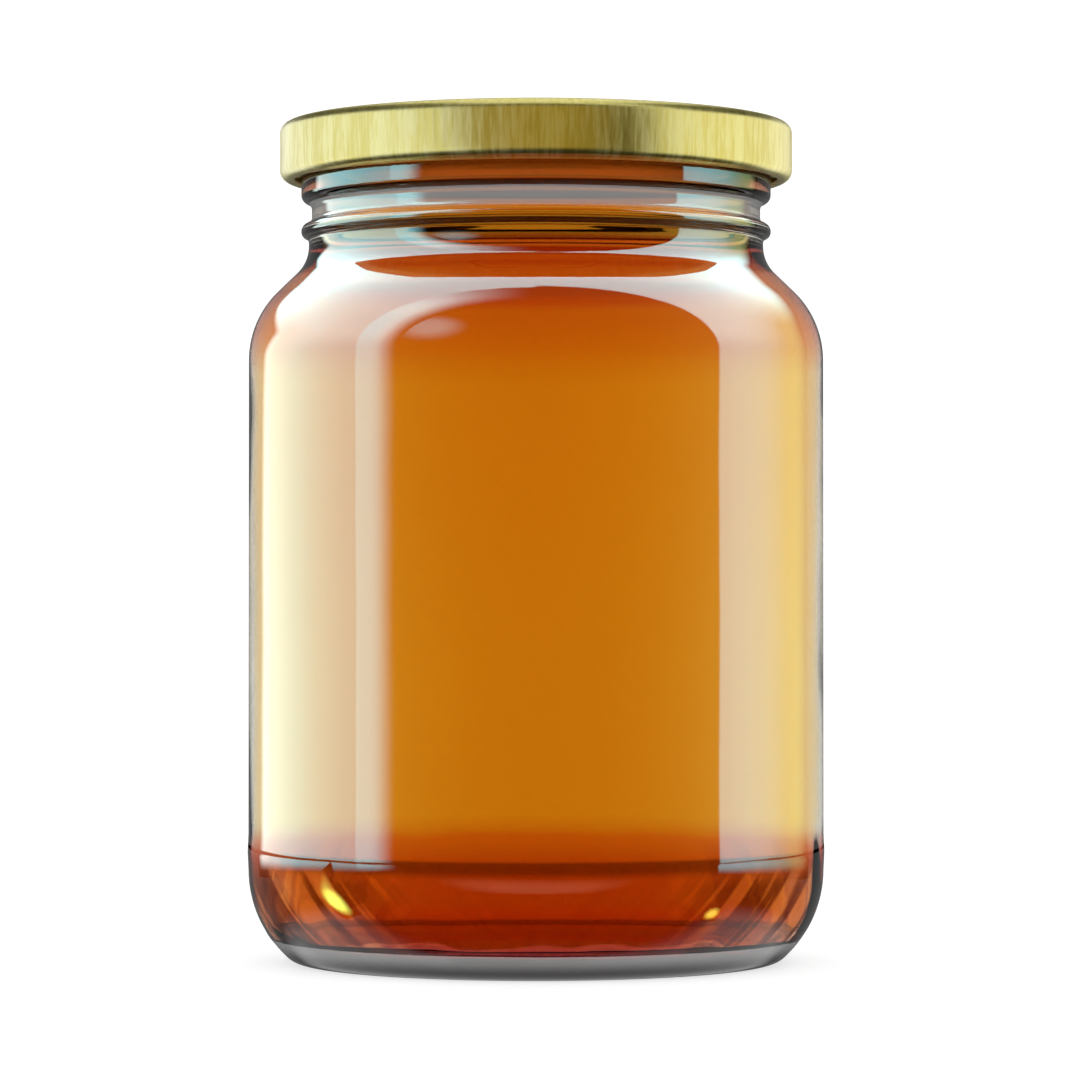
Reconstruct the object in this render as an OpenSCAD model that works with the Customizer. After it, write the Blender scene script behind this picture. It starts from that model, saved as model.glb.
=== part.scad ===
// A round glass jar of honey, closed with a twist-off metal cap.
// Every piece is turned about the Z axis, and the jar stands on Z = 0.
// Sizes are in millimetres. Heights in the neck are measured down from the rim of the glass.

/* [Glass body] */
// Outer diameter of the body
body_d = 76.5; // [70:0.1:95]
// Height of the glass, from the foot to the rim
glass_h = 111; // [85:0.1:150]
// Thickness of the body wall
wall = 2.4; // [1.5:0.1:3.2]
// Radius of the large curve where the side turns under
heel_r = 15.5; // [8:0.1:20]
// How far the heel runs in from the side
heel_in = 5.9; // [4:0.1:9]
// How high the heel runs up the side
heel_up = 6; // [3:0.1:8]
// Radius of the small curve at the foot
foot_r = 3.2; // [1:0.1:4]
// Width of the ring that the jar stands on, with its curve
foot_w = 2.8; // [2:0.1:5]
// Height of the hollow under the middle of the base
hollow_h = 1.8; // [0.5:0.1:3]
// Height of the edge of the floor above the foot
floor_h = 3.6; // [3:0.1:8]
// Rise of the floor towards its middle
floor_rise = 1; // [0.2:0.1:2]
// Radius between the floor and the wall
corner_r = 3; // [1:0.1:4]
// Radius of the shoulder
shoulder_r = 12.5; // [6:0.1:16]
// Height of the sloping part of the shoulder
shoulder_h = 7.7; // [4:0.1:12]

/* [Glass neck] */
// Outer diameter of the neck above the shoulder
neck_d = 60.6; // [50:0.1:66]
// Thickness of the neck wall
neck_wall = 3; // [2:0.1:5]
// Radius between the shoulder and the neck
neck_r = 5.2; // [1:0.1:6]
// Drop from the rim to the foot of the neck
neck_drop = 18; // [17:0.1:30]
// How far the bead stands out from the neck
bead_out = 1; // [0.5:0.1:2]
// Height of the bead
bead_h = 2.1; // [1.5:0.1:3]
// Drop from the rim to the middle of the bead
bead_drop = 13.8; // [13:0.1:15]
// Depth of the groove above the bead
groove_in = 0.4; // [0.2:0.1:1]
// How far the collar stands out from the neck
collar_out = 1; // [0.5:0.1:2]
// Height of the collar, from the rim down
collar_h = 9.7; // [9:0.1:10.5]
// Height of the slope under the collar
ledge_h = 0.6; // [0.2:0.1:1]
// Radius at both edges of the rim
rim_r = 1.2; // [0.4:0.1:1.4]

/* [Thread] */
// How far each thread ramp stands out from the collar
ramp_out = 0.6; // [0.4:0.1:1.4]
// Height of a thread ramp
ramp_h = 1.6; // [1:0.1:2]
// Drop from the rim to the top of a ramp
ramp_drop = 3.8; // [3:0.1:4.5]
// Angle that each ramp covers
ramp_angle = 50; // [20:1:60]
// Number of ramps, and of the lugs that hold them
lugs = 4; // [3:1:6]

/* [Cap] */
// Thickness of the cap's sheet metal
sheet = 0.5; // [0.3:0.1:0.8]
// Space between the thread ramps and the curl
cap_gap = 0.25; // [0.1:0.05:0.5]
// Width of the rolled curl at the lower edge
curl_w = 2; // [1.2:0.1:2.5]
// Height of the rolled curl
curl_h = 2; // [1.8:0.1:2.4]
// Outer radius at the foot of the curl
curl_r = 1.5; // [0.5:0.1:1.6]
// Radius of the cap's top edge
cap_edge_r = 1.4; // [1:0.1:2.5]
// Depth of the sunk panel
panel_drop = 0.7; // [0.3:0.1:1.2]
// Space between the panel's step and the bore of the neck
panel_gap = 0.5; // [0.2:0.1:2]
// Slope of the panel's step, measured across
step_w = 0.8; // [0.4:0.1:2]
// Space between a lug's tip and the collar
lug_gap = 0.3; // [0.1:0.1:0.5]
// Height of a lug
lug_h = 0.8; // [0.5:0.1:1]
// Height of the lugs above the foot of the curl
lug_up = 1; // [0.4:0.1:1.2]
// Angle that each lug covers
lug_angle = 16; // [8:1:30]

/* [Honey] */
// Drop from the rim to the surface of the honey
honey_drop = 5.6; // [5.5:0.1:9]

/* [Hidden] */
$fn = 128;
arc_step = 7;
body_rad = body_d / 2;
neck_rad = neck_d / 2;
bore_rad = neck_rad - neck_wall;
bead_rad = neck_rad + bead_out;
groove_rad = neck_rad - groove_in;
collar_rad = neck_rad + collar_out;
ramp_rad = collar_rad + ramp_out;
curl_rad = ramp_rad + cap_gap;
cap_rad = curl_rad + curl_w;
lug_rad = collar_rad + lug_gap;
foot_rad = body_rad - heel_in;
neck_z = glass_h - neck_drop;
bead_z = glass_h - bead_drop;
collar_z = glass_h - collar_h;
honey_z = glass_h - honey_drop;
cap_top = glass_h + sheet;
ramp_foot = glass_h - ramp_drop - ramp_h;
lug_foot = ramp_foot - lug_h;
cap_foot = lug_foot - lug_up;
panel_z = cap_top - panel_drop;
step_rad = bore_rad - panel_gap - sheet;
// Slopes of the heel and of the shoulder: height for each millimetre across
heel_slope = heel_up / heel_in;
shoulder_slope = shoulder_h / (body_rad - neck_rad);
// Small radii of the moulded neck and of the pressed cap
moulded_r = 1;
pressed_r = 0.5;
// How far a ramp or a lug reaches into the wall that carries it
root = 0.3;

glass_colour = [0.85, 0.9, 0.88, 0.35];
honey_colour = [0.78, 0.42, 0.02];
cap_colour = [0.84, 0.76, 0.42];

// An outline is a list of corners [distance from the axis, height, radius of the rounding].
function at(p) = [p[0], p[1]];
function unit(v) = v / norm(v);
function inner_angle(a, b, c) = acos(unit(a - b) * unit(c - b));

// Length that the rounding of corner i takes from both its sides
function tangent(p, i) = (i <= 0 || i >= len(p) - 1 || p[i][2] == 0) ? 0
    : p[i][2] / tan(inner_angle(at(p[i - 1]), at(p[i]), at(p[i + 1])) / 2);

// Share of its radius that side i leaves to the roundings at its two ends
function side_share(p, i) = min(1, norm(at(p[i + 1]) - at(p[i])) / max(1e-6, tangent(p, i) + tangent(p, i + 1)));

// Points of the rounding of corner b, between a and c, with radius r
function round_corner(a, b, c, r) =
    let(half = inner_angle(a, b, c) / 2,
        centre = b + unit(unit(a - b) + unit(c - b)) * r / sin(half),
        start = b + unit(a - b) * r / tan(half) - centre,
        turn = 180 - 2 * half,
        side = sign(cross(b - a, c - b)),
        steps = max(2, ceil(turn / arc_step)))
    [for (k = [0:steps])
        let(t = side * turn * k / steps)
        centre + [start[0] * cos(t) - start[1] * sin(t), start[0] * sin(t) + start[1] * cos(t)]];

// The outline's points, with every corner rounded as far as its sides allow
function rounded(p) = [for (i = [0:len(p) - 1])
    each (tangent(p, i) == 0 ? [at(p[i])]
        : round_corner(at(p[i - 1]), at(p[i]), at(p[i + 1]),
            p[i][2] * min(side_share(p, i - 1), side_share(p, i))))];

// A shallow dome from the axis out to the point [r, z], and rise higher on the axis
function dome(r, z, rise) =
    let(radius = (r * r + rise * rise) / (2 * rise), half = asin(r / radius), steps = 8)
    [for (k = [0:steps - 1]) [radius * sin(half * k / steps), z + rise - radius * (1 - cos(half * k / steps))]];

// Heights of the inner heel and the inner shoulder at a distance r from the axis
function inner_heel_z(r) = heel_up - (body_rad - r) * heel_slope + wall * sqrt(1 + heel_slope * heel_slope);
function inner_shoulder_z(r) = neck_z - (r - neck_rad) * shoulder_slope
    - wall * sqrt(1 + shoulder_slope * shoulder_slope);
// Distance from the axis at which the inner heel meets the floor
function floor_rad() = body_rad + (floor_h - heel_up - wall * sqrt(1 + heel_slope * heel_slope)) / heel_slope;

// Outside of the glass, from the hollow of the base up to the rim and in to the bore
function glass_outline() = concat(
    dome(foot_rad - foot_w, 0, hollow_h),
    rounded([
        [foot_rad - foot_w, 0, 0],
        [foot_rad, 0, foot_r],
        [body_rad, heel_up, heel_r],
        [body_rad, neck_z - shoulder_h, shoulder_r],
        [neck_rad, neck_z, neck_r],
        [neck_rad, bead_z - bead_h / 2, moulded_r],
        [bead_rad, bead_z - bead_h / 3, moulded_r],
        [bead_rad, bead_z + bead_h / 3, moulded_r],
        [groove_rad, bead_z + bead_h / 2, moulded_r],
        [groove_rad, collar_z - ledge_h, moulded_r],
        [collar_rad, collar_z, moulded_r],
        [collar_rad, glass_h, rim_r],
        [bore_rad, glass_h, rim_r],
        [bore_rad, collar_z, 0],
        [0, collar_z, 0]]));

// Inside of the glass, from the middle of the floor up to the height top
function cavity_outline(top) = concat(
    dome(floor_rad() - corner_r, floor_h, floor_rise),
    rounded([
        [floor_rad() - corner_r, floor_h, 0],
        [floor_rad(), floor_h, corner_r],
        [body_rad - wall, inner_heel_z(body_rad - wall), heel_r - wall],
        [body_rad - wall, inner_shoulder_z(body_rad - wall), shoulder_r - wall],
        [bore_rad, inner_shoulder_z(bore_rad), neck_r + neck_wall],
        [bore_rad, top, 0],
        [0, top, 0]]));

// Section of the cap: over the top, round the curl and back under the panel
function cap_outline() = rounded([
    [0, panel_z, 0],
    [step_rad - step_w, panel_z, pressed_r],
    [step_rad, cap_top, pressed_r],
    [cap_rad, cap_top, cap_edge_r],
    [cap_rad, cap_foot, curl_r],
    [curl_rad, cap_foot, pressed_r],
    [curl_rad, cap_foot + curl_h, pressed_r],
    [cap_rad - sheet, cap_foot + curl_h + pressed_r, 0],
    [cap_rad - sheet, glass_h, cap_edge_r - sheet],
    [step_rad + sheet, glass_h, 0],
    [step_rad + sheet - step_w, panel_z - sheet, 0],
    [0, panel_z - sheet, 0]]);

// Part of a ring with a square section, centred on the X axis
module ring_part(r_in, r_out, z_low, height, angle) {
    rotate([0, 0, -angle / 2])
        rotate_extrude(angle = angle)
            translate([r_in, z_low])
                square([r_out - r_in, height]);
}

// Repeats its children round the neck, once for each lug
module each_lug() {
    for (i = [0:lugs - 1])
        rotate([0, 0, 360 / lugs * i])
            children();
}

// The glass, with the thread ramps round its collar
module jar() {
    color(glass_colour) {
        rotate_extrude()
            difference() {
                polygon(glass_outline());
                polygon(cavity_outline(collar_z + collar_h / 2));
            }
        each_lug()
            ring_part(collar_rad - root, ramp_rad, ramp_foot, ramp_h, ramp_angle);
    }
}

// The honey, which fills the glass up to its surface
module honey() {
    color(honey_colour)
        rotate_extrude()
            polygon(cavity_outline(honey_z));
}

// The metal cap, which sits on the rim with its lugs under the thread ramps
module lid() {
    color(cap_colour) {
        rotate_extrude()
            polygon(cap_outline());
        each_lug()
            ring_part(lug_rad, curl_rad + root, lug_foot, lug_h, lug_angle);
    }
}

jar();
honey();
lid();
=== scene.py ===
import math
import random

import bpy
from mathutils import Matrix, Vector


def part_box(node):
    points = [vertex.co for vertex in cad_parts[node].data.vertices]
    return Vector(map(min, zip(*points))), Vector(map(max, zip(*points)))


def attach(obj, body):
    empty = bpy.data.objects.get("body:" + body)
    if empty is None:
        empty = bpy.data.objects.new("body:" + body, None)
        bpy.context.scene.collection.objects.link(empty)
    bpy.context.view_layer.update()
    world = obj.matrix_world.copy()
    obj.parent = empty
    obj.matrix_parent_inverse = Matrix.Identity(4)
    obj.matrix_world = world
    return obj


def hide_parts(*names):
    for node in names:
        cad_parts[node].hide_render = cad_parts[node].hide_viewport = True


# A jar of honey with a twist-off cap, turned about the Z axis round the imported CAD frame.
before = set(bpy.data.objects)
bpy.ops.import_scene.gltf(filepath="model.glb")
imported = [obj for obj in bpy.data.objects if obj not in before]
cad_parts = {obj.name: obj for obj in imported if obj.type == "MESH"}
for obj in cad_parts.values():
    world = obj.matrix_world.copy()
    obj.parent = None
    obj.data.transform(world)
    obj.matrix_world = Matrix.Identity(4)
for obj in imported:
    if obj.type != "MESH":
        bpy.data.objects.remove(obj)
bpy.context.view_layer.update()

jar_low, jar_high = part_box("jar")
honey_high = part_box("honey")[1]

# Sizes are in millimetres here, and MM turns them into the frame's metres. Heights are above the base.
GLASS_H = 111.0
MM = (jar_high.z - jar_low.z) / GLASS_H
BASE_Z = jar_low.z

# Glass body: wall, heel, standing ring round the hollow base, floor of the cavity, shoulder
BODY_R, WALL = 38.25, 2.4
HEEL_R, HEEL_IN, HEEL_UP = 15.5, 5.9, 6.0
FOOT_R, FOOT_W, HOLLOW_H = 3.2, 2.8, 1.8
FLOOR_H, FLOOR_RISE, CORNER_R = 3.6, 1.0, 3.0
SHOULDER_R, SHOULDER_H = 12.5, 7.7

# Neck: NECK_RAD is its radius and NECK_R its rounding, then bead, groove, collar and rim
NECK_RAD, NECK_R, NECK_WALL, NECK_Z = 30.3, 5.2, 3.0, 93.0
BEAD_OUT, BEAD_H, BEAD_Z = 1.0, 2.1, 97.2
GROOVE_IN, COLLAR_OUT, COLLAR_Z, LEDGE_H = 0.4, 1.0, 101.3, 0.6
RIM_R, MOULDED_R = 1.2, 1.0
BORE_R = NECK_RAD - NECK_WALL
COLLAR_R = NECK_RAD + COLLAR_OUT
FOOT_RAD = BODY_R - HEEL_IN

# Thread ramps on the glass. A taper is the share of an arc over which each of its ends fades.
LUGS, RAMP_OUT, RAMP_H, RAMP_FOOT, RAMP_ANGLE, RAMP_TAPER = 4, 0.6, 1.6, 105.6, 50.0, 0.2

# Cap: its sheet, its curl, its top with the sunk panel, and the lugs inside
SHEET, CAP_R, CURL_R = 0.5, 34.15, 32.15
CAP_FOOT, CURL_H, CURL_ROUND, PRESSED_R = 103.8, 2.0, 1.5, 0.5
CAP_TOP, CAP_EDGE_R, PANEL_Z, STEP_R, STEP_W = 111.5, 1.4, 110.8, 26.3, 0.8
LUG_RAD, LUG_FOOT, LUG_H, LUG_ANGLE, LUG_TAPER = 31.6, 104.8, 0.8, 16.0, 0.25

# Honey: its level, how far it reaches into the wall, and the rise of its edge up the glass
HONEY_Z = (honey_high.z - BASE_Z) / MM
INTO_WALL = 0.12
MENISCUS, MENISCUS_W = 0.5, 3.2

# Points of an outline closer to the axis than this are on it
ON_AXIS = 1e-6


# ---------------------------------------------------------------- outlines

def unit(x, y):
    length = math.hypot(x, y)
    return x / length, y / length


def corner_tangent(corners, i):
    """Length that the rounding of corner i takes from both its sides."""
    if i <= 0 or i >= len(corners) - 1 or corners[i][2] == 0:
        return 0.0
    return corners[i][2] / math.tan(corner_angle(corners, i) / 2)


def corner_angle(corners, i):
    """Angle between the two sides that meet in corner i."""
    a, b, c = corners[i - 1], corners[i], corners[i + 1]
    u, v = unit(a[0] - b[0], a[1] - b[1]), unit(c[0] - b[0], c[1] - b[1])
    return math.acos(max(-1.0, min(1.0, u[0] * v[0] + u[1] * v[1])))


def side_share(corners, i):
    """How much of its two roundings the side after corner i has room for, up to 1."""
    a, b = corners[i], corners[i + 1]
    need = corner_tangent(corners, i) + corner_tangent(corners, i + 1)
    return min(1.0, math.hypot(b[0] - a[0], b[1] - a[1]) / max(ON_AXIS, need))


def rounded(corners, arc_step=3.0, run=2.5):
    """Points of an outline given as corners (r, z, rounding). Arcs turn by arc_step degrees at a time, and
    straight sides are cut into runs."""
    points = []
    for i, (r, z, radius) in enumerate(corners):
        if corner_tangent(corners, i) == 0:
            arc = [(r, z)]
        else:
            radius *= min(side_share(corners, i - 1), side_share(corners, i))
            a, c = corners[i - 1], corners[i + 1]
            u, v = unit(a[0] - r, a[1] - z), unit(c[0] - r, c[1] - z)
            half = corner_angle(corners, i) / 2
            middle = unit(u[0] + v[0], u[1] + v[1])
            cx = r + middle[0] * radius / math.sin(half)
            cz = z + middle[1] * radius / math.sin(half)
            sx = r + u[0] * radius / math.tan(half) - cx
            sz = z + u[1] * radius / math.tan(half) - cz
            turn = math.pi - 2 * half
            side = math.copysign(1.0, (r - a[0]) * (c[1] - z) - (z - a[1]) * (c[0] - r))
            steps = max(3, math.ceil(math.degrees(turn) / arc_step))
            arc = []
            for k in range(steps + 1):
                t = side * turn * k / steps
                arc.append((cx + sx * math.cos(t) - sz * math.sin(t),
                            cz + sx * math.sin(t) + sz * math.cos(t)))
        if points:
            points += straight(points[-1], arc[0], run)
        points += arc
    return points


def straight(a, b, run):
    """Points strictly between a and b, no further apart than run."""
    parts = max(1, math.ceil(math.hypot(b[0] - a[0], b[1] - a[1]) / run))
    return [(a[0] + (b[0] - a[0]) * k / parts, a[1] + (b[1] - a[1]) * k / parts)
            for k in range(1, parts)]


def dome(r, z, rise, steps=14):
    """A shallow dome from the axis out to the point (r, z), and rise higher on the axis."""
    radius = (r * r + rise * rise) / (2 * rise)
    half = math.asin(r / radius)
    return [(radius * math.sin(half * k / steps), z + rise - radius * (1 - math.cos(half * k / steps)))
            for k in range(steps)]


def glass_outside():
    """The glass from the middle of the hollow base, up the outside and over the rim."""
    return dome(FOOT_RAD - FOOT_W, 0, HOLLOW_H) + rounded([
        (FOOT_RAD - FOOT_W, 0, 0),
        (FOOT_RAD, 0, FOOT_R),
        (BODY_R, HEEL_UP, HEEL_R),
        (BODY_R, NECK_Z - SHOULDER_H, SHOULDER_R),
        (NECK_RAD, NECK_Z, NECK_R),
        (NECK_RAD, BEAD_Z - BEAD_H / 2, MOULDED_R),
        (NECK_RAD + BEAD_OUT, BEAD_Z - BEAD_H / 3, MOULDED_R),
        (NECK_RAD + BEAD_OUT, BEAD_Z + BEAD_H / 3, MOULDED_R),
        (NECK_RAD - GROOVE_IN, BEAD_Z + BEAD_H / 2, MOULDED_R),
        (NECK_RAD - GROOVE_IN, COLLAR_Z - LEDGE_H, MOULDED_R),
        (COLLAR_R, COLLAR_Z, MOULDED_R),
        (COLLAR_R, GLASS_H, RIM_R),
        (BORE_R, GLASS_H, RIM_R),
        (BORE_R, COLLAR_Z, 0)])


def glass_inside(top, grow=0.0):
    """The cavity from the middle of the floor up to a height, grown outward by a little."""
    slope = HEEL_UP / HEEL_IN
    lean = SHOULDER_H / (BODY_R - NECK_RAD)
    wall = WALL - grow
    bore = BORE_R + grow
    floor = FLOOR_H - grow
    rise = wall * math.hypot(1, slope)
    floor_rad = BODY_R + (floor - HEEL_UP - rise) / slope
    inner_r = BODY_R - wall

    def shoulder_z(r):
        return NECK_Z - (r - NECK_RAD) * lean - wall * math.hypot(1, lean)

    return dome(floor_rad - CORNER_R, floor, FLOOR_RISE) + rounded([
        (floor_rad - CORNER_R, floor, 0),
        (floor_rad, floor, CORNER_R),
        (inner_r, HEEL_UP - (BODY_R - inner_r) * slope + rise, HEEL_R - wall),
        (inner_r, shoulder_z(inner_r), SHOULDER_R - wall),
        (bore, shoulder_z(bore), NECK_R + NECK_WALL),
        (bore, top, 0)])


def cap_section():
    """The cap from the middle of its panel, over the top, round the curl and back under the panel."""
    return rounded([
        (0, PANEL_Z, 0),
        (STEP_R - STEP_W, PANEL_Z, PRESSED_R),
        (STEP_R, CAP_TOP, PRESSED_R),
        (CAP_R, CAP_TOP, CAP_EDGE_R),
        (CAP_R, CAP_FOOT, CURL_ROUND),
        (CURL_R, CAP_FOOT, PRESSED_R),
        (CURL_R, CAP_FOOT + CURL_H, PRESSED_R),
        (CAP_R - SHEET, CAP_FOOT + CURL_H + PRESSED_R, 0),
        (CAP_R - SHEET, GLASS_H, CAP_EDGE_R - SHEET),
        (STEP_R + SHEET, GLASS_H, 0),
        (STEP_R + SHEET - STEP_W, PANEL_Z - SHEET, 0),
        (0, PANEL_Z - SHEET, 0)], arc_step=9.0, run=2.0)


# ---------------------------------------------------------------- meshes

def lathe(name, outline, segments, shape):
    """Turns an outline of (r, z) about the Z axis. shape(r, z, angle) may move each point a little."""
    verts, rings = [], []
    for r, z in outline:
        if r < ON_AXIS:
            rings.append([len(verts)])
            verts.append((0.0, 0.0, BASE_Z + z * MM))
            continue
        ring = []
        for k in range(segments):
            angle = 2 * math.pi * k / segments
            pr, pz = shape(r, z, angle)
            ring.append(len(verts))
            verts.append((pr * MM * math.cos(angle), pr * MM * math.sin(angle), BASE_Z + pz * MM))
        rings.append(ring)
    faces = []
    for low, high in zip(rings, rings[1:]):
        for k in range(segments):
            n = (k + 1) % segments
            if len(low) == 1:
                faces.append((low[0], high[n], high[k]))
            elif len(high) == 1:
                faces.append((low[k], low[n], high[0]))
            else:
                faces.append((low[k], low[n], high[n], high[k]))
    return mesh_object(name, verts, faces)


def mesh_object(name, verts, faces, smooth=True):
    mesh = bpy.data.meshes.new(name)
    mesh.from_pydata(verts, [], faces)
    mesh.update()
    if smooth:
        mesh.polygons.foreach_set("use_smooth", [True] * len(mesh.polygons))
    ob = bpy.data.objects.new(name, mesh)
    bpy.context.scene.collection.objects.link(ob)
    return ob


def tapered_arc(verts, faces, section, centre, angle, taper, steps=36):
    """Adds a bar along an arc about the Z axis, with its middle at centre and angle degrees long.
    section is (r, z) corners: its first two hold to the wall, and the rest fade into them at both ends."""
    first, size = len(verts), len(section)
    for k in range(steps + 1):
        t = k / steps
        a = math.radians(centre + angle * (t - 0.5))
        fade = min(1.0, min(t, 1 - t) / taper)
        fade = math.sin(fade * math.pi / 2)
        for r, z in section:
            pr = section[0][0] + (r - section[0][0]) * fade
            verts.append((pr * MM * math.cos(a), pr * MM * math.sin(a), BASE_Z + z * MM))
    for k in range(steps):
        for j in range(size):
            n = (j + 1) % size
            b = first + k * size
            faces.append((b + j, b + size + j, b + size + n, b + n))
    faces.append(tuple(first + j for j in range(size)))
    faces.append(tuple(first + steps * size + j for j in reversed(range(size))))


def join(target, *others):
    """Joins other meshes into target, in one piece."""
    bpy.ops.object.select_all(action="DESELECT")
    for ob in (target, *others):
        ob.select_set(True)
    bpy.context.view_layer.objects.active = target
    bpy.ops.object.join()
    return target


# ---------------------------------------------------------------- material helpers

def new_material(name):
    mat = bpy.data.materials.new(name)
    mat.use_nodes = True
    nodes = mat.node_tree.nodes
    return mat, mat.node_tree, nodes["Principled BSDF"], nodes["Material Output"]


def node(tree, kind, **values):
    made = tree.nodes.new(kind)
    for key, value in values.items():
        setattr(made, key, value)
    return made


def noise(tree, vector, scale, detail=2.0, roughness=0.5):
    made = node(tree, "ShaderNodeTexNoise")
    made.inputs["Scale"].default_value = scale
    made.inputs["Detail"].default_value = detail
    made.inputs["Roughness"].default_value = roughness
    tree.links.new(vector, made.inputs["Vector"])
    return made.outputs["Fac"]


def map_range(tree, value, a, b, c, d, smooth=True):
    """From c to d as value goes from a to b, and no further."""
    made = node(tree, "ShaderNodeMapRange")
    made.interpolation_type = "SMOOTHSTEP" if smooth else "LINEAR"
    for key, number in zip(("From Min", "From Max", "To Min", "To Max"), (a, b, c, d)):
        made.inputs[key].default_value = number
    tree.links.new(value, made.inputs["Value"])
    return made.outputs["Result"]


def math_node(tree, operation, a, b=None, c=None):
    made = node(tree, "ShaderNodeMath", operation=operation)
    for socket, value in zip(made.inputs, (a, b, c)):
        if value is None:
            continue
        if isinstance(value, (int, float)):
            socket.default_value = value
        else:
            tree.links.new(value, socket)
    return made.outputs[0]


def mix_colour(tree, factor, a, b, blend="MIX"):
    made = node(tree, "ShaderNodeMix", data_type="RGBA", blend_type=blend)
    for socket, value in ((made.inputs[0], factor), (made.inputs[6], a), (made.inputs[7], b)):
        if isinstance(value, (int, float)):
            socket.default_value = value
        elif isinstance(value, tuple):
            socket.default_value = (*value, 1.0)
        else:
            tree.links.new(value, socket)
    return made.outputs[2]


def colour_ramp(tree, value, stops):
    """Colours along a value from 0 to 1. stops is a list of (position, colour)."""
    made = node(tree, "ShaderNodeValToRGB")
    for k, (position, colour) in enumerate(stops):
        stop = made.color_ramp.elements[k] if k < 2 else made.color_ramp.elements.new(1.0)
        stop.position = position
        stop.color = (*colour, 1.0)
    tree.links.new(value, made.inputs[0])
    return made.outputs[0]


def object_coords(tree):
    return node(tree, "ShaderNodeTexCoord").outputs["Object"]


def separate(tree, vector):
    """A node whose outputs are the X, Y and Z of a vector."""
    made = node(tree, "ShaderNodeSeparateXYZ")
    tree.links.new(vector, made.inputs[0])
    return made


def by_height(tree, split, a, b, c, d, smooth=True):
    """From c to d as the height above the base goes from a to b millimetres."""
    return map_range(tree, split.outputs["Z"], BASE_Z + a * MM, BASE_Z + b * MM, c, d, smooth)


def bump(tree, height, strength, distance, shader):
    made = node(tree, "ShaderNodeBump")
    made.inputs["Strength"].default_value = strength
    made.inputs["Distance"].default_value = distance
    tree.links.new(height, made.inputs["Height"])
    tree.links.new(made.outputs["Normal"], shader.inputs["Normal"])


# ---------------------------------------------------------------- materials

GLASS_IOR = 1.5
RIPPLE_SCALE, RIPPLE_STRENGTH, RIPPLE_DEPTH = 45.0, 0.06, 0.002
# Lower than real honey's 1.49, so light goes nearly straight through, as the even window in the jar shows
HONEY_IOR = 1.05
NO_TINT = (0.0, 0.0, 0.0, 1.0)


def glass_ripple(tree, coords, shader):
    """The slight unevenness of moulded glass."""
    bump(tree, noise(tree, coords, RIPPLE_SCALE, 1.0), RIPPLE_STRENGTH, RIPPLE_DEPTH, shader)


def glass_material(name, bare=True):
    """Clear soda glass. Where honey wets it, it has next to no reflection of its own."""
    mat, tree, shader, _ = new_material(name)
    shader.inputs["Base Color"].default_value = (1.0, 1.0, 1.0, 1.0)
    shader.inputs["Transmission Weight"].default_value = 1.0
    shader.inputs["IOR"].default_value = GLASS_IOR
    shader.inputs["Roughness"].default_value = 0.0
    if not bare:
        shader.inputs["Specular Tint"].default_value = NO_TINT
    glass_ripple(tree, object_coords(tree), shader)
    return mat


# Heights over which the foot turns from a painted contact shadow, close to the table, to milky, and the
# colour of that shadow
FOOT_SHADOW_Z, FOOT_CLEAR_Z = 0.9, 3.0
FOOT_SHADOW = (0.06, 0.05, 0.05)
HAZE_DEEP, HAZE_PALE, HAZE_SCALE = (0.86, 0.86, 0.85), (0.96, 0.96, 0.95), 120.0
# How much light hazed glass still lets through, and how it blurs it
HAZE_CLEARNESS, HAZE_BLUR = 0.76, 0.05


def hazed_shadowed_material():
    """The glass of the groove and of the foot, where the mould leaves it a little milky. Close to the table
    the foot has a painted contact shadow.
    """
    mat, tree, shader, _ = new_material("glass_hazed_shadowed_foot")
    shader.inputs["Transmission Weight"].default_value = HAZE_CLEARNESS
    shader.inputs["IOR"].default_value = GLASS_IOR
    shader.inputs["Roughness"].default_value = HAZE_BLUR
    coords = object_coords(tree)
    colour = mix_colour(tree, noise(tree, coords, HAZE_SCALE), HAZE_DEEP, HAZE_PALE)
    # A painted contact shadow darkens the foot close to the table
    low = by_height(tree, separate(tree, coords), FOOT_SHADOW_Z, FOOT_CLEAR_Z, 1.0, 0.0)
    tree.links.new(mix_colour(tree, low, colour, FOOT_SHADOW), shader.inputs["Base Color"])
    glass_ripple(tree, coords, shader)
    return mat


# How honey absorbs light, with its density per metre, and two shades of its skin
HONEY_ABSORB, HONEY_DENSITY = (0.89, 0.682, 0.0, 1.0), 80.0
HONEY_PALE, HONEY_DEEP, HONEY_CLOUDS = (1.0, 0.985, 0.9), (0.98, 0.95, 0.85), 28.0

# Painted shade on the honey's skin by height: darker and redder low in the heel, on the shoulder and under
# the bead, where the glass shows darker surroundings, greyer behind the groove, and nearly black at the top
# for the cap's shadow
CLEAR = (1.0, 1.0, 1.0)
HONEY_PAINTED_SHADE = [
    (3.0, (0.36, 0.03, 0.05)), (6.0, (0.62, 0.09, 0.09)), (10.0, (0.60, 0.16, 0.14)),
    (14.6, (0.74, 0.20, 0.18)), (18.0, CLEAR), (38.0, CLEAR), (60.0, (1.0, 0.95, 0.9)),
    (78.0, (1.0, 0.92, 0.85)), (83.0, (0.88, 0.50, 0.45)), (89.0, (0.82, 0.42, 0.38)),
    (90.6, (0.62, 0.13, 0.11)), (92.4, (0.38, 0.06, 0.06)), (94.4, (0.38, 0.06, 0.06)),
    (95.4, CLEAR), (97.0, CLEAR), (98.5, (0.45, 0.38, 0.35)), (101.0, (0.45, 0.40, 0.36)),
    (102.0, (0.60, 0.28, 0.20)), (102.8, (0.42, 0.17, 0.11)), (103.5, (0.07, 0.03, 0.03))]

# Painted streaks of light and shade in the heel, for the surroundings bent by the glass there: how the
# pattern runs round the jar and up it, in the noise's units, and its scale
STREAK_ROUND, STREAK_LEAN, STREAK_ALONG, STREAK_SCALE = 3.6, -97.0, 12.0, 3.2
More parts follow.
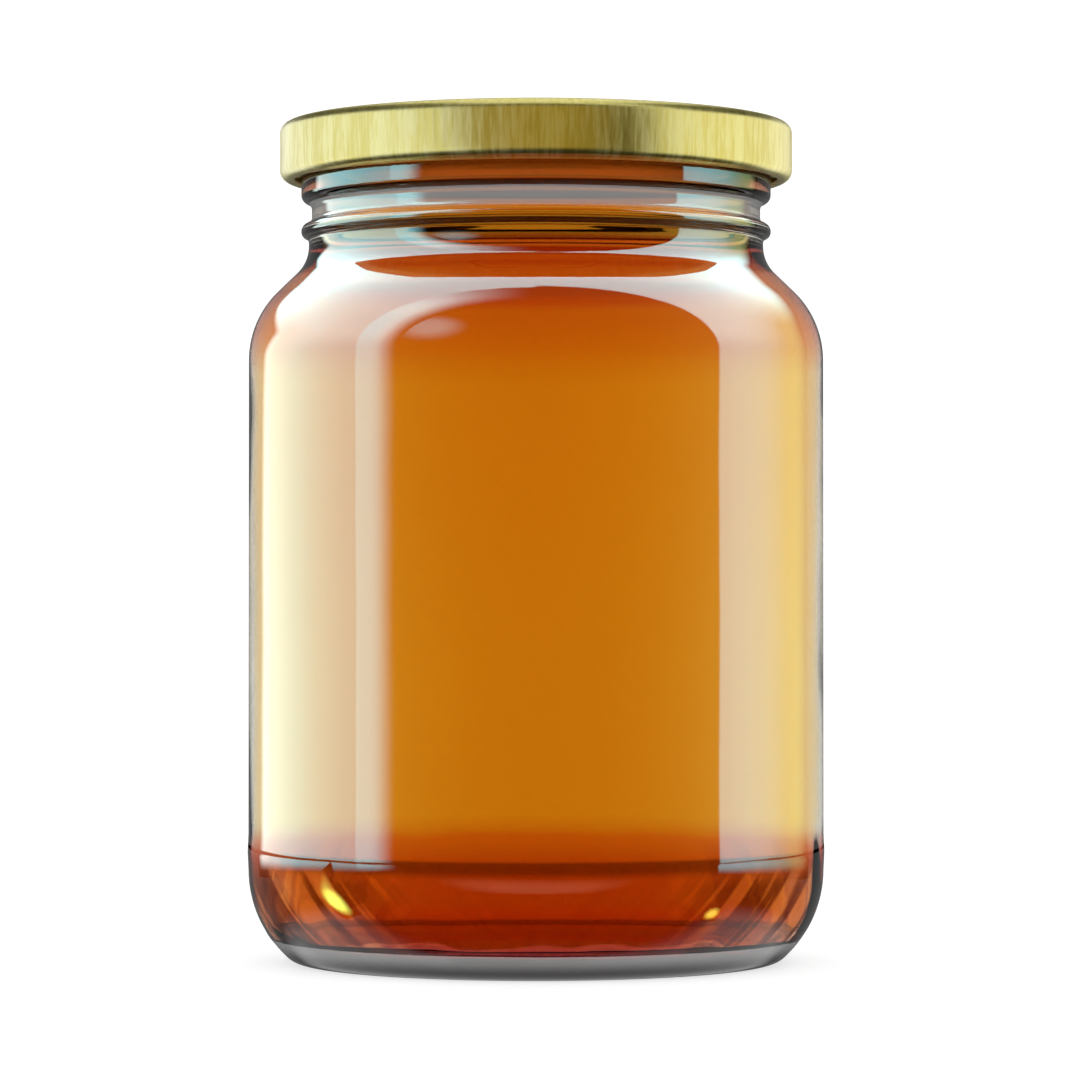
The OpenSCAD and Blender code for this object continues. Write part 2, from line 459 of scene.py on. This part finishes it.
# The heights over which they end, and the places across and front to back (m) over which they change
# from one strength to another
STREAK_LOW_Z, STREAK_TOP_Z = 11.0, 15.5
STREAK_MIDDLE, STREAK_SIDE, MIDDLE_SHARE = 0.014, 0.027, 0.06
STREAK_FRONT, STREAK_BACK, BACK_SHARE = 0.0, 0.02, 0.3
STREAK_PAINTED_LIGHT, STREAK_PAINTED_SHADE = (0.90, 0.46, 0.30), (0.13, 0.03, 0.02)

# Painted line of shade on the front of the heel: heights over which it darkens and ends, and how far back
# round the jar it goes (m)
SHADE_LINE_FROM_Z, SHADE_LINE_FULL_Z, SHADE_LINE_HOLD_Z, SHADE_LINE_END_Z = 12.6, 14.2, 15.0, 15.5
SHADE_LINE_FRONT, SHADE_LINE_BACK = -0.022, -0.008
SHADE_LINE_DEPTH, SHADE_LINE_DARK = 0.85, (0.05, 0.02, 0.02)


def painted_heel_streaks(tree, split, colour):
    """Painted slanting streaks of light and shade low in the heel, strongest at its sides and weaker at the
    back.
    """
    front = math_node(tree, "MULTIPLY", split.outputs["Y"], -1.0)
    angle = math_node(tree, "ARCTAN2", split.outputs["X"], front)
    lean = math_node(tree, "MULTIPLY", split.outputs["Z"], STREAK_LEAN)
    swept = node(tree, "ShaderNodeCombineXYZ")
    round_jar = math_node(tree, "ABSOLUTE", angle)
    tree.links.new(math_node(tree, "MULTIPLY_ADD", round_jar, STREAK_ROUND, lean), swept.inputs["X"])
    tree.links.new(math_node(tree, "MULTIPLY", split.outputs["Z"], STREAK_ALONG), swept.inputs["Y"])
    tree.links.new(math_node(tree, "SIGN", angle), swept.inputs["Z"])
    streak = noise(tree, swept.outputs[0], STREAK_SCALE, 2.0, 0.6)
    streak = map_range(tree, streak, 0.42, 0.56, 0.0, 1.0)
    near = by_height(tree, split, STREAK_LOW_Z, STREAK_TOP_Z, 1.0, 0.0)
    across = math_node(tree, "ABSOLUTE", split.outputs["X"])
    edge = map_range(tree, across, STREAK_MIDDLE, STREAK_SIDE, MIDDLE_SHARE, 1.0)
    ahead = map_range(tree, split.outputs["Y"], STREAK_FRONT, STREAK_BACK, 1.0, BACK_SHARE)
    amount = math_node(tree, "MULTIPLY", math_node(tree, "MULTIPLY", near, edge), ahead)
    return mix_colour(tree, amount, colour, mix_colour(tree, streak, STREAK_PAINTED_LIGHT, STREAK_PAINTED_SHADE))


def heel_shade_line(tree, split, colour):
    """A painted dark line of shade on the front, where the heel turns under."""
    shade_line = math_node(tree, "MULTIPLY",
                     by_height(tree, split, SHADE_LINE_FROM_Z, SHADE_LINE_FULL_Z, 0.0, SHADE_LINE_DEPTH),
                     by_height(tree, split, SHADE_LINE_HOLD_Z, SHADE_LINE_END_Z, 1.0, 0.0))
    shade_line = math_node(tree, "MULTIPLY", shade_line,
                     map_range(tree, split.outputs["Y"], SHADE_LINE_FRONT, SHADE_LINE_BACK, 1.0, 0.0))
    return mix_colour(tree, shade_line, colour, SHADE_LINE_DARK)


def honey_material():
    """Clear amber honey, whose colour comes from the depth that light goes through, with painted shade by
    height and painted streaks and a painted line of shade in the heel on its skin.
    """
    mat, tree, shader, output = new_material("honey")
    shader.inputs["Transmission Weight"].default_value = 1.0
    shader.inputs["IOR"].default_value = HONEY_IOR
    shader.inputs["Roughness"].default_value = 0.0
    shader.inputs["Specular Tint"].default_value = NO_TINT
    coords = object_coords(tree)
    split = separate(tree, coords)
    cloud = map_range(tree, noise(tree, coords, HONEY_CLOUDS, 3.0), 0.35, 0.65, 0.0, 1.0)
    colour = mix_colour(tree, cloud, HONEY_PALE, HONEY_DEEP)
    # Painted shade by height, multiplied into the skin's colour
    height = by_height(tree, split, 0.0, GLASS_H, 0.0, 1.0, smooth=False)
    tint = colour_ramp(tree, height, [(z / GLASS_H, shade) for z, shade in HONEY_PAINTED_SHADE])
    colour = mix_colour(tree, 1.0, colour, tint, "MULTIPLY")
    colour = heel_shade_line(tree, split, painted_heel_streaks(tree, split, colour))
    tree.links.new(colour, shader.inputs["Base Color"])
    absorb = node(tree, "ShaderNodeVolumeAbsorption")
    absorb.inputs["Color"].default_value = HONEY_ABSORB
    absorb.inputs["Density"].default_value = HONEY_DENSITY
    tree.links.new(absorb.outputs["Volume"], output.inputs["Volume"])
    return mat


CAP_PALE, CAP_DEEP = (0.87, 0.80, 0.30), (0.72, 0.62, 0.15)
# Scales of the fine and the broad marks, with the share of each, and scale, contrast and level of the grain
FINE_SCALE, FINE_SHARE, BROAD_SCALE, BROAD_SHARE = 60.0, 0.65, 14.0, 0.35
GRAIN_SCALE, GRAIN_CONTRAST, GRAIN_LEVEL = 1400.0, 0.35, 0.34
# Stretch of the marks: the noise's units for each metre up the skirt, where round it a radian is one unit
MARK_STRETCH, MARK_BUMP, MARK_DEPTH = 3.0, 0.05, 0.0004
CAP_SMOOTH, CAP_ROUGH = 0.3, 0.42
# Distances under the top over which the marks of the skirt give way to the even grain of the top
TOP_GRAIN_FROM, TOP_GRAIN_FULL = 1.6, 0.6


def cap_material():
    """Gold lacquered steel with fine upright marks round the skirt and an even grain on the top."""
    mat, tree, shader, _ = new_material("cap")
    coords = object_coords(tree)
    split = separate(tree, coords)
    angle = math_node(tree, "ARCTAN2", split.outputs["Y"], split.outputs["X"])
    # Points on a circle of one metre, so the marks join up all the way round
    ring = node(tree, "ShaderNodeCombineXYZ")
    tree.links.new(math_node(tree, "COSINE", angle), ring.inputs["X"])
    tree.links.new(math_node(tree, "SINE", angle), ring.inputs["Y"])
    tree.links.new(math_node(tree, "MULTIPLY", split.outputs["Z"], MARK_STRETCH), ring.inputs["Z"])
    fine = noise(tree, ring.outputs[0], FINE_SCALE, 3.0, 0.6)
    broad = noise(tree, ring.outputs[0], BROAD_SCALE)
    marks = math_node(tree, "ADD", math_node(tree, "MULTIPLY", fine, FINE_SHARE),
                      math_node(tree, "MULTIPLY", broad, BROAD_SHARE))
    grain = noise(tree, coords, GRAIN_SCALE, 3.0)
    grain = math_node(tree, "MULTIPLY_ADD", grain, GRAIN_CONTRAST, GRAIN_LEVEL)
    top = by_height(tree, split, CAP_TOP - TOP_GRAIN_FROM, CAP_TOP - TOP_GRAIN_FULL, 0.0, 1.0)
    pattern = node(tree, "ShaderNodeMix", data_type="FLOAT")
    for socket, value in zip(pattern.inputs[:1] + pattern.inputs[2:4], (top, marks, grain)):
        tree.links.new(value, socket)
    colour = mix_colour(tree, map_range(tree, pattern.outputs[0], 0.4, 0.6, 0.0, 1.0), CAP_DEEP, CAP_PALE)
    tree.links.new(colour, shader.inputs["Base Color"])
    tree.links.new(map_range(tree, fine, 0.3, 0.7, CAP_SMOOTH, CAP_ROUGH), shader.inputs["Roughness"])
    shader.inputs["Metallic"].default_value = 1.0
    shader.inputs["Coat Weight"].default_value = 0.3
    shader.inputs["Coat Roughness"].default_value = 0.25
    bump(tree, fine, MARK_BUMP, MARK_DEPTH, shader)
    return mat


# ---------------------------------------------------------------- the pieces

SEGMENTS, LID_SEGMENTS, LUG_STEPS = 192, 960, 16

# Height up to which the foot is hazed, heights between which the groove is, and the share of the foot's
# radius outside which glass counts as the outside
FOOT_HAZE, GROOVE_LOW, GROOVE_HIGH = 3.2, BEAD_Z + 1.1, COLLAR_Z - 0.5
OUTSIDE_SHARE = 0.9
# How far under the honey's level the glass stops being wetted
DRY_EDGE = 0.3

# A fine moulded line round the body: its height, how far it stands out, and its width
LINE_Z, LINE_OUT, LINE_W = 14.9, 0.13, 0.36
# Uneven glass inside the heel: waves round the jar, how far each goes in, and its turn (radians). It ends
# at UNEVEN_Z, fades over UNEVEN_FADE below that, and leaves out the floor within UNEVEN_RAD.
RIPPLES = ((7, 0.05, 0.3), (11, 0.05, 1.9), (19, 0.045, 4.1), (31, 0.03, 2.2))
UNEVEN_Z, UNEVEN_FADE, UNEVEN_RAD = 18.0, 5.0, 20.0
# How far the ramps and the lugs are rooted in what they stand on, and the bevel of a lug
ROOTED, LUG_BEVEL = 0.3, 0.15
# How close to a surface a point counts as on it
NEAR_OUTSIDE, NEAR_FLOOR, NEAR_WALL = 0.5, 0.5, 0.05

# Marks round the cap's skirt: how many, how deep, and the margins at its foot and top over which they fade
FLUTES, FLUTE_DEPTH, FLUTE_FADE = 160, 0.018, 0.8
FLUTE_FOOT, FLUTE_TOP, NEAR_SKIRT = CAP_FOOT + 1.2, CAP_TOP - 0.9, 0.3


def glass_shape(r, z, angle):
    """The moulded line where the heel begins, and the uneven glass inside the heel."""
    if r > BODY_R - NEAR_OUTSIDE:
        r += LINE_OUT * math.exp(-((z - LINE_Z) / LINE_W) ** 2)
    return uneven_inside(r, z, angle)


def uneven_inside(r, z, angle):
    """Moves the inside of the heel in and out a little, for the glass and the honey alike."""
    if z > FLOOR_H - NEAR_FLOOR and UNEVEN_RAD < r < BODY_R - WALL + INTO_WALL + NEAR_WALL and z < UNEVEN_Z:
        fade = min(1.0, (UNEVEN_Z - z) / UNEVEN_FADE)
        r -= fade * sum(out * math.sin(count * angle + turn) for count, out, turn in RIPPLES)
    return r, z


def thread_ramps():
    """The ramps on the collar that the cap's lugs run under."""
    verts, faces = [], []
    root = COLLAR_R - ROOTED
    section = [(root, RAMP_FOOT), (root, RAMP_FOOT + RAMP_H),
               (COLLAR_R + RAMP_OUT * 0.6, RAMP_FOOT + RAMP_H * 0.9),
               (COLLAR_R + RAMP_OUT, RAMP_FOOT + RAMP_H * 0.55),
               (COLLAR_R + RAMP_OUT, RAMP_FOOT + RAMP_H * 0.2),
               (COLLAR_R + RAMP_OUT * 0.7, RAMP_FOOT)]
    for i in range(LUGS):
        tapered_arc(verts, faces, section, 360 / LUGS * i, RAMP_ANGLE, RAMP_TAPER)
    return mesh_object("Ramps", verts, faces)


def build_jar():
    """The glass. Its materials are dry glass, glass that honey wets, and hazed glass, whose foot has a
    painted contact shadow.
    """
    outside = glass_outside()
    inside = glass_inside(COLLAR_Z)
    jar = lathe("Jar_glass", outside + list(reversed(inside))[1:], SEGMENTS, glass_shape)
    ramps = thread_ramps()
    dry = glass_material("glass")
    for material in (dry, glass_material("glass_wetted", bare=False), hazed_shadowed_material()):
        jar.data.materials.append(material)
    ramps.data.materials.append(dry)
    wet, hazed = 1, 2
    level, foot = BASE_Z + (HONEY_Z - DRY_EDGE) * MM, BASE_Z + FOOT_HAZE * MM
    groove_low, groove_high = BASE_Z + GROOVE_LOW * MM, BASE_Z + GROOVE_HIGH * MM
    for f in jar.data.polygons:
        ring, z = f.index // SEGMENTS, f.center.z
        if ring >= len(outside):
            if z < level:
                f.material_index = wet
        elif math.hypot(f.center.x, f.center.y) > FOOT_RAD * OUTSIDE_SHARE * MM:
            if z < foot or groove_low < z < groove_high:
                f.material_index = hazed
    return join(jar, ramps)


def build_honey():
    """The honey, up to its surface, which curves up to the glass at its edge."""
    outline = glass_inside(HONEY_Z, grow=INTO_WALL)
    edge, curve_steps, steps = BORE_R + INTO_WALL, 10, 12
    flat = edge - MENISCUS_W
    curve = [(edge - MENISCUS_W * k / curve_steps, HONEY_Z + MENISCUS * (math.exp(-k / 2) - 1))
             for k in range(1, curve_steps + 1)]
    surface = [(flat - flat * k / steps, HONEY_Z - MENISCUS) for k in range(1, steps + 1)]
    honey = lathe("Honey_fill", outline + curve + surface, SEGMENTS, uneven_inside)
    honey.data.materials.append(honey_material())
    return honey


def cap_lugs():
    """The lugs that are pressed in from the cap's curl."""
    verts, faces = [], []
    root, bevel = CURL_R + ROOTED, LUG_RAD + LUG_BEVEL
    section = [(root, LUG_FOOT), (root, LUG_FOOT + LUG_H),
               (bevel, LUG_FOOT + LUG_H), (LUG_RAD, LUG_FOOT + LUG_H * 0.7),
               (LUG_RAD, LUG_FOOT + LUG_H * 0.3), (bevel, LUG_FOOT)]
    for i in range(LUGS):
        tapered_arc(verts, faces, section, 360 / LUGS * i, LUG_ANGLE, LUG_TAPER, LUG_STEPS)
    return mesh_object("Lugs", verts, faces)


def build_lid():
    """The cap, with fine upright marks of uneven depth round its skirt."""
    random.seed(7)
    depth = [random.uniform(0.2, 1.0) for _ in range(FLUTES)]

    def fluted(r, z, angle):
        if r < CAP_R - NEAR_SKIRT or not FLUTE_FOOT < z < FLUTE_TOP:
            return r, z
        t = angle / (2 * math.pi) * FLUTES
        high = math.sin(math.pi * (t - int(t))) ** 2
        fade = min(1.0, (z - FLUTE_FOOT) / FLUTE_FADE, (FLUTE_TOP - z) / FLUTE_FADE)
        return r - FLUTE_DEPTH * depth[int(t) % FLUTES] * high * fade, z

    lid = lathe("Lid_cap", cap_section(), LID_SEGMENTS, fluted)
    lugs = cap_lugs()
    gold = cap_material()
    lid.data.materials.append(gold)
    lugs.data.materials.append(gold)
    return join(lid, lugs)


jar = build_jar()
honey = build_honey()
lid = build_lid()
for piece, cad_node, slot in ((jar, "jar", "glass"), (honey, "honey", "honey"), (lid, "lid", "cap")):
    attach(piece, "root")
    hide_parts(cad_node)


# ---------------------------------------------------------------- floor, lights and world

# Tints of the panels. They make up for the amber behind the glass, so they look nearly white on it.
COOL, UPPER = (0.30, 0.86, 0.94), (0.50, 0.97, 1.0)
PALE, YELLOW = (0.50, 0.62, 0.60), (0.17, 0.25, 0.11)


def reflected_only(name, verts, faces, uvs, kind, shade):
    """A panel that only reflections see. shade(tree, uv, shader) sets up its shader, of this kind."""
    ob = mesh_object(name, verts, faces, smooth=False)
    layer = ob.data.uv_layers.new(name="UVMap")
    for poly in ob.data.polygons:
        for li in poly.loop_indices:
            layer.data[li].uv = uvs[ob.data.loops[li].vertex_index]
    mat = bpy.data.materials.new(name)
    mat.use_nodes = True
    tree = mat.node_tree
    tree.nodes.clear()
    out = node(tree, "ShaderNodeOutputMaterial")
    shader = node(tree, kind)
    shade(tree, node(tree, "ShaderNodeUVMap", uv_map="UVMap").outputs[0], shader)
    tree.links.new(shader.outputs[0], out.inputs["Surface"])
    ob.data.materials.append(mat)
    ob.visible_camera = False
    ob.visible_transmission = False
    ob.visible_diffuse = False
    ob.visible_shadow = False
    return ob


def only_lights(light, piece):
    """Keeps a light to one piece."""
    group = bpy.data.collections.new(light.name + "_lit")
    group.objects.link(piece)
    light.light_linking.receiver_collection = group


# The tunnel of panels round the jar: its radius and the height of its axis
TENT_R, TENT_Z = 0.6, 0.048
# Its lower edge lies on the camera's line of sight by way of the start of the heel: height at the axis
# and drop per metre from it. Under the edge is a skirt.
TENT_FOOT, TENT_DROP, SKIRT = 0.0157, 0.0598, 0.028
TENT_COLUMNS, TENT_STEPS = 12, 48
# Height, as a share of a quarter turn, that the edge of the shoulder reflects, and the reach round it
DIP_AT, DIP_REACH = 0.22, 0.18
# Share of a quarter turn above which the far edge sweeps back
SWEEP_FROM = 0.25
# How much brighter a panel is once it is above the camera, the V over which that comes and over which the
# back's tint goes, the V over which the skirt fades, and a fade along V that is never reached
UPPER_GAIN, UPPER_FROM, UPPER_FULL, TINT_END = 0.38, 0.03, 0.25, 0.6
SKIRT_END, SKIRT_FULL = -0.75, -0.25
NO_FADE = (2.0, 3.0)


def tent_shade(colours, strength, soft, top):
    """Light of a panel. Along U, soft holds the (start, end) pairs over which its two ends fade, and
    colours its tint at the front, at the back, and where that turns. Along V it fades over top."""
    def shade(tree, uv, glow):
        split = separate(tree, uv)
        along, high = split.outputs["X"], split.outputs["Y"]
        upper = map_range(tree, high, UPPER_FROM, UPPER_FULL, 0.0, 1.0)
        level = math_node(tree, "MULTIPLY", map_range(tree, along, *soft[0], 0.0, 1.0),
                          map_range(tree, along, *soft[1], 1.0, 0.0))
        level = math_node(tree, "MULTIPLY", level, map_range(tree, high, *top, 1.0, 0.0))
        level = math_node(tree, "MULTIPLY", level,
                          math_node(tree, "MULTIPLY_ADD", upper, UPPER_GAIN, 1.0))
        skirt = map_range(tree, high, SKIRT_END, SKIRT_FULL, 0.0, strength)
        tree.links.new(math_node(tree, "MULTIPLY", level, skirt), glow.inputs["Strength"])
        front, back, turn = colours
        front = mix_colour(tree, upper, front, UPPER)
        turned = math_node(tree, "MULTIPLY", map_range(tree, along, *turn, 0.0, 1.0),
                           map_range(tree, high, UPPER_FULL, TINT_END, 1.0, 0.0))
        tree.links.new(mix_colour(tree, turned, front, back), glow.inputs["Color"])
    return shade


def tent(name, start, end, turn_from, turn_to, shade, sweep=0.6, dip=0.0):
    """Part of a round tunnel about the Y axis: from y start to y end, and from one angle above the horizon
    round to the other. 0 is +X and 180 is -X. Its far edge sweeps back higher up, and stops short by dip
    at the height that the edge of the shoulder reflects."""
    rows = [(turn_from + (turn_to - turn_from) * k / TENT_STEPS, 0.0) for k in range(TENT_STEPS + 1)]
    # The skirt fades out, so the edge is soft where the sides of the jar mirror it
    if turn_to > 90:
        rows.append((turn_to, SKIRT))
    else:
        rows.insert(0, (turn_from, SKIRT))
    verts, uvs, faces = [], [], []
    for turn, below in rows:
        a = math.radians(turn)
        high = 1 - abs(90 - turn) / 90
        back = (end - dip * max(0.0, 1 - abs(high - DIP_AT) / DIP_REACH)
                + sweep * max(0.0, high - SWEEP_FROM))
        for j in range(TENT_COLUMNS + 1):
            y = start + (back - start) * j / TENT_COLUMNS
            x, z = TENT_R * math.cos(a), TENT_Z + TENT_R * math.sin(a)
            verts.append((x, y, max(z, TENT_FOOT - TENT_DROP * math.hypot(x, y)) - below))
            uvs.append((j / TENT_COLUMNS, -1.0 if below else high))
    for k in range(len(rows) - 1):
        for j in range(TENT_COLUMNS):
            b = k * (TENT_COLUMNS + 1) + j
            faces.append((b, b + 1, b + TENT_COLUMNS + 2, b + TENT_COLUMNS + 1))
    panel = reflected_only(name, verts, faces, uvs, "ShaderNodeEmission", shade)
    only_lights(panel, jar)


def card(name, place, size, strength, colour, slant=0.0):
    """A small glowing card with a soft round edge, which faces the jar and turns by slant in its plane."""
    w, h = size[0] / 2, size[1] / 2
    turn = math.atan2(place[0], -place[1])
    c, t = math.cos(slant), math.sin(slant)
    verts = []
    for u, v in ((-1, -1), (1, -1), (1, 1), (-1, 1)):
        x, z = u * w * c - v * h * t, u * w * t + v * h * c
        verts.append((place[0] + x * math.cos(turn), place[1] + x * math.sin(turn), place[2] + z))

    def shade(tree, uv, glow):
        away = node(tree, "ShaderNodeVectorMath", operation="DISTANCE")
        tree.links.new(uv, away.inputs[0])
        away.inputs[1].default_value = (0.5, 0.5, 0.0)
        fade = map_range(tree, away.outputs["Value"], 0.1, 0.5, strength, 0.0)
        tree.links.new(fade, glow.inputs["Strength"])
        glow.inputs["Color"].default_value = (*colour, 1.0)

    uvs = [(0, 0), (1, 0), (1, 1), (0, 1)]
    only_lights(reflected_only(name, verts, [(0, 1, 2, 3)], uvs, "ShaderNodeEmission", shade), jar)


# The cone of the baffle: from one radius to the other, its height at the axis, and its drop per metre
BAFFLE_NEAR, BAFFLE_FAR, BAFFLE_TOP, BAFFLE_DROP, BAFFLE_STEPS = 0.042, 0.2, 0.0170, 0.0594, 48


def build_baffle():
    """A dark cone round the jar that keeps the glows of the heel from the walls above it."""
    verts = []
    for r in (BAFFLE_NEAR, BAFFLE_FAR):
        for k in range(BAFFLE_STEPS):
            a = 2 * math.pi * k / BAFFLE_STEPS
            verts.append((r * math.cos(a), r * math.sin(a), BAFFLE_TOP - BAFFLE_DROP * r))
    ring = [(k, (k + 1) % BAFFLE_STEPS) for k in range(BAFFLE_STEPS)]
    faces = [(k, n, BAFFLE_STEPS + n, BAFFLE_STEPS + k) for k, n in ring]

    def shade(tree, uv, cloth):
        cloth.inputs["Color"].default_value = (0.0, 0.0, 0.0, 1.0)

    reflected_only("Baffle", verts, faces, [(0.5, 0.5)] * len(verts), "ShaderNodeBsdfDiffuse", shade)


def cap_lamp(name, place, aim, size, radiance, colour=(1.0, 1.0, 1.0)):
    """A soft lamp of its own for the cap. It blocks nothing, and radiance is what its face shows."""
    lamp = bpy.data.lights.new(name, "AREA")
    lamp.shape = "RECTANGLE"
    lamp.size, lamp.size_y = size
    lamp.color = colour
    lamp.energy = radiance * math.pi * size[0] * size[1]
    ob = bpy.data.objects.new(name, lamp)
    ob.location = place
    dx, dy, dz = (aim[i] - place[i] for i in range(3))
    ob.rotation_euler = (math.atan2(math.hypot(dx, dy), -dz), 0, math.atan2(dx, -dy) + math.pi)
    bpy.context.scene.collection.objects.link(ob)
    ob.visible_camera = False
    ob.visible_transmission = False
    only_lights(ob, lid)


def build_lights():
    """Softboxes, cards and baffle for the glass, and gentler lamps for the cap."""
    tent("Softbox_right", -0.17, 0.60, -20, 90,
         tent_shade((COOL, YELLOW, (0.1, 0.7)), 6.8, ((0, 0.02), (0.65, 1.0)), NO_FADE))
    tent("Softbox_left", -0.18, 0.75, 90, 200,
         tent_shade((COOL, PALE, (0.3, 0.8)), 6.8, ((-0.01, 0.0), (0.8, 1.0)), NO_FADE), dip=0.25)
    tent("Softbox_strip", -0.42, -0.18, 90, 200,
         tent_shade((COOL, COOL, (0.4, 0.8)), 10.0, ((0, 0.7), (1.1, 1.2)), (0.5, 1.0)), sweep=0.0)
    # A soft glow in the upper left corner of the dark window, and a faint one across the heel
    card("Glow_corner", (-0.567, -0.60, 0.43), (0.52, 0.52), 4.6, COOL)
    card("Glow_heel", (0.0, -0.188, -0.0095), (0.31, 0.017), 1.3, (1.0, 0.6, 0.35))
    # Two sparks in the heel
    card("Spark_left", (-0.169, -0.030, -0.034), (0.034, 0.074), 24.0, (0.75, 1.0, 0.14), slant=0.35)
    card("Spark_right", (0.154, -0.055, -0.059), (0.024, 0.034), 18.0, (1.0, 0.72, 0.08))
    build_baffle()
    cap_lamp("Cap_left", (-0.52, 0.2, 0.1), (0, 0.2, 0.1), (2.2, 1.0), 1.12, (0.92, 0.98, 1.25))
    cap_lamp("Cap_right", (0.52, 0.4, 0.1), (0, 0.4, 0.1), (1.6, 1.0), 1.02)
    cap_lamp("Cap_front", (0, -0.59, 0.15), (0, 0, 0.107), (0.7, 0.5), 0.34, (1.0, 0.72, 0.16))
    cap_lamp("Cap_above", (0, 0.1, 0.6), (0, 0.1, 0.107), (1.0, 1.0), 0.85)


# Greys between which the floor's grain varies, and its own glow, which evens it out to near white
FLOOR_DEEP, FLOOR_PALE, FLOOR_GLOW = (0.36, 0.36, 0.36), (0.40, 0.40, 0.40), 0.7


def build_floor():
    """A plain pale floor."""
    floor = mesh_object("Floor", [(-6, -3, 0), (6, -3, 0), (6, 9, 0), (-6, 9, 0)], [(0, 1, 2, 3)],
                        smooth=False)
    mat, tree, shader, _ = new_material("pale_floor")
    grain = noise(tree, object_coords(tree), 60.0, 2.0)
    tree.links.new(mix_colour(tree, grain, FLOOR_DEEP, FLOOR_PALE), shader.inputs["Base Color"])
    shader.inputs["Roughness"].default_value = 0.9
    shader.inputs["Specular IOR Level"].default_value = 0.0
    shader.inputs["Emission Color"].default_value = (1.0, 1.0, 1.0, 1.0)
    shader.inputs["Emission Strength"].default_value = FLOOR_GLOW
    floor.data.materials.append(mat)
    floor.visible_glossy = False
    floor.visible_transmission = False


# Strength of the world for the camera, for light that comes through the jar, and for what the jar
# reflects from behind it and from the floor below. Flags are dark cards above and below the backdrop.
SEEN, THROUGH = 1.15, 1.1
REFLECTED_BEHIND, REFLECTED_FLOOR = 0.16, 0.9
HIGH_FLAG, LOW_FLAG, FLAG_DARK = 0.15, 0.4, (0.06, 0.05, 0.05)


def background(tree, strength):
    """White light from all round. Its strength is a number or a socket."""
    made = node(tree, "ShaderNodeBackground")
    made.inputs["Color"].default_value = (1.0, 1.0, 1.0, 1.0)
    if isinstance(strength, float):
        made.inputs["Strength"].default_value = strength
    else:
        tree.links.new(strength, made.inputs["Strength"])
    return made


def mix_shaders(tree, factor, a, b):
    """Shader a, with b in its place where factor is 1."""
    made = node(tree, "ShaderNodeMixShader")
    for socket, value in zip(made.inputs, (factor, a, b)):
        tree.links.new(value, socket)
    return made.outputs[0]


def reflected_level(tree, split):
    """Dark on the camera's side, grey behind, and pale low down, where the foot reflects the floor."""
    behind = map_range(tree, split.outputs["Y"], 0.3, 0.9, 0.0, REFLECTED_BEHIND)
    below = math_node(tree, "MULTIPLY", map_range(tree, split.outputs["Z"], -0.3, -0.5, 0.0, 1.0),
                      map_range(tree, split.outputs["Y"], -0.3, 0.1, 0.0, REFLECTED_FLOOR))
    return math_node(tree, "MAXIMUM", behind, below)


def backdrop_colour(tree, split):
    """White, but straight behind it is a band at the height of the jar, and darker above and below."""
    side = math_node(tree, "ABSOLUTE", split.outputs["X"])
    straight_on = math_node(tree, "MULTIPLY", map_range(tree, side, 0.35, 0.5, 1.0, 0.0),
                            map_range(tree, split.outputs["Y"], 0.3, 0.5, 0.0, 1.0))
    high = map_range(tree, split.outputs["Z"], 0.13, 0.22, 0.0, HIGH_FLAG)
    low = math_node(tree, "MULTIPLY", map_range(tree, split.outputs["Z"], -0.14, -0.20, 0.0, LOW_FLAG),
                    map_range(tree, split.outputs["Z"], -0.36, -0.30, 0.0, 1.0))
    flag = math_node(tree, "MULTIPLY", math_node(tree, "MAXIMUM", high, low), straight_on)
    return mix_colour(tree, flag, (1.0, 1.0, 1.0), FLAG_DARK)


def build_world():
    """White for the camera and nearly so for light that comes through the honey, and dark to reflections."""
    world = bpy.data.worlds.new("Studio")
    bpy.context.scene.world = world
    world.use_nodes = True
    tree = world.node_tree
    tree.nodes.clear()
    out = node(tree, "ShaderNodeOutputWorld")
    path = node(tree, "ShaderNodeLightPath")
    split = separate(tree, node(tree, "ShaderNodeTexCoord").outputs["Generated"])
    seen = background(tree, SEEN)
    mirrored = background(tree, reflected_level(tree, split))
    through = background(tree, THROUGH)
    tree.links.new(backdrop_colour(tree, split), through.inputs["Color"])
    # A ray that has gone through glass can count as both, so mirrored ones are what is left without it
    passed = path.outputs["Is Transmission Ray"]
    mirror_only = math_node(tree, "SUBTRACT", path.outputs["Is Glossy Ray"], passed)
    plain = mix_shaders(tree, mirror_only, seen.outputs[0], mirrored.outputs[0])
    tree.links.new(mix_shaders(tree, passed, plain, through.outputs[0]), out.inputs["Surface"])


build_lights()
build_floor()
build_world()


# ---------------------------------------------------------------- camera

# As the photograph was taken: from in front, half way up the jar, and level but for a slight tilt up
LENS_MM, SENSOR_MM = 148.0, 36.0
CAMERA_AT, CAMERA_TILT = (0.00053, -0.5923, 0.0483), 90.754


def build_camera():
    data = bpy.data.cameras.new("Camera")
    data.lens, data.sensor_width = LENS_MM, SENSOR_MM
    data.clip_start, data.clip_end = 0.01, 50.0
    cam = bpy.data.objects.new("Camera", data)
    cam.location = CAMERA_AT
    cam.rotation_euler = (math.radians(CAMERA_TILT), 0, 0)
    bpy.context.scene.collection.objects.link(cam)
    bpy.context.scene.camera = cam


build_camera()
bpy.context.scene.view_settings.view_transform = "Standard"
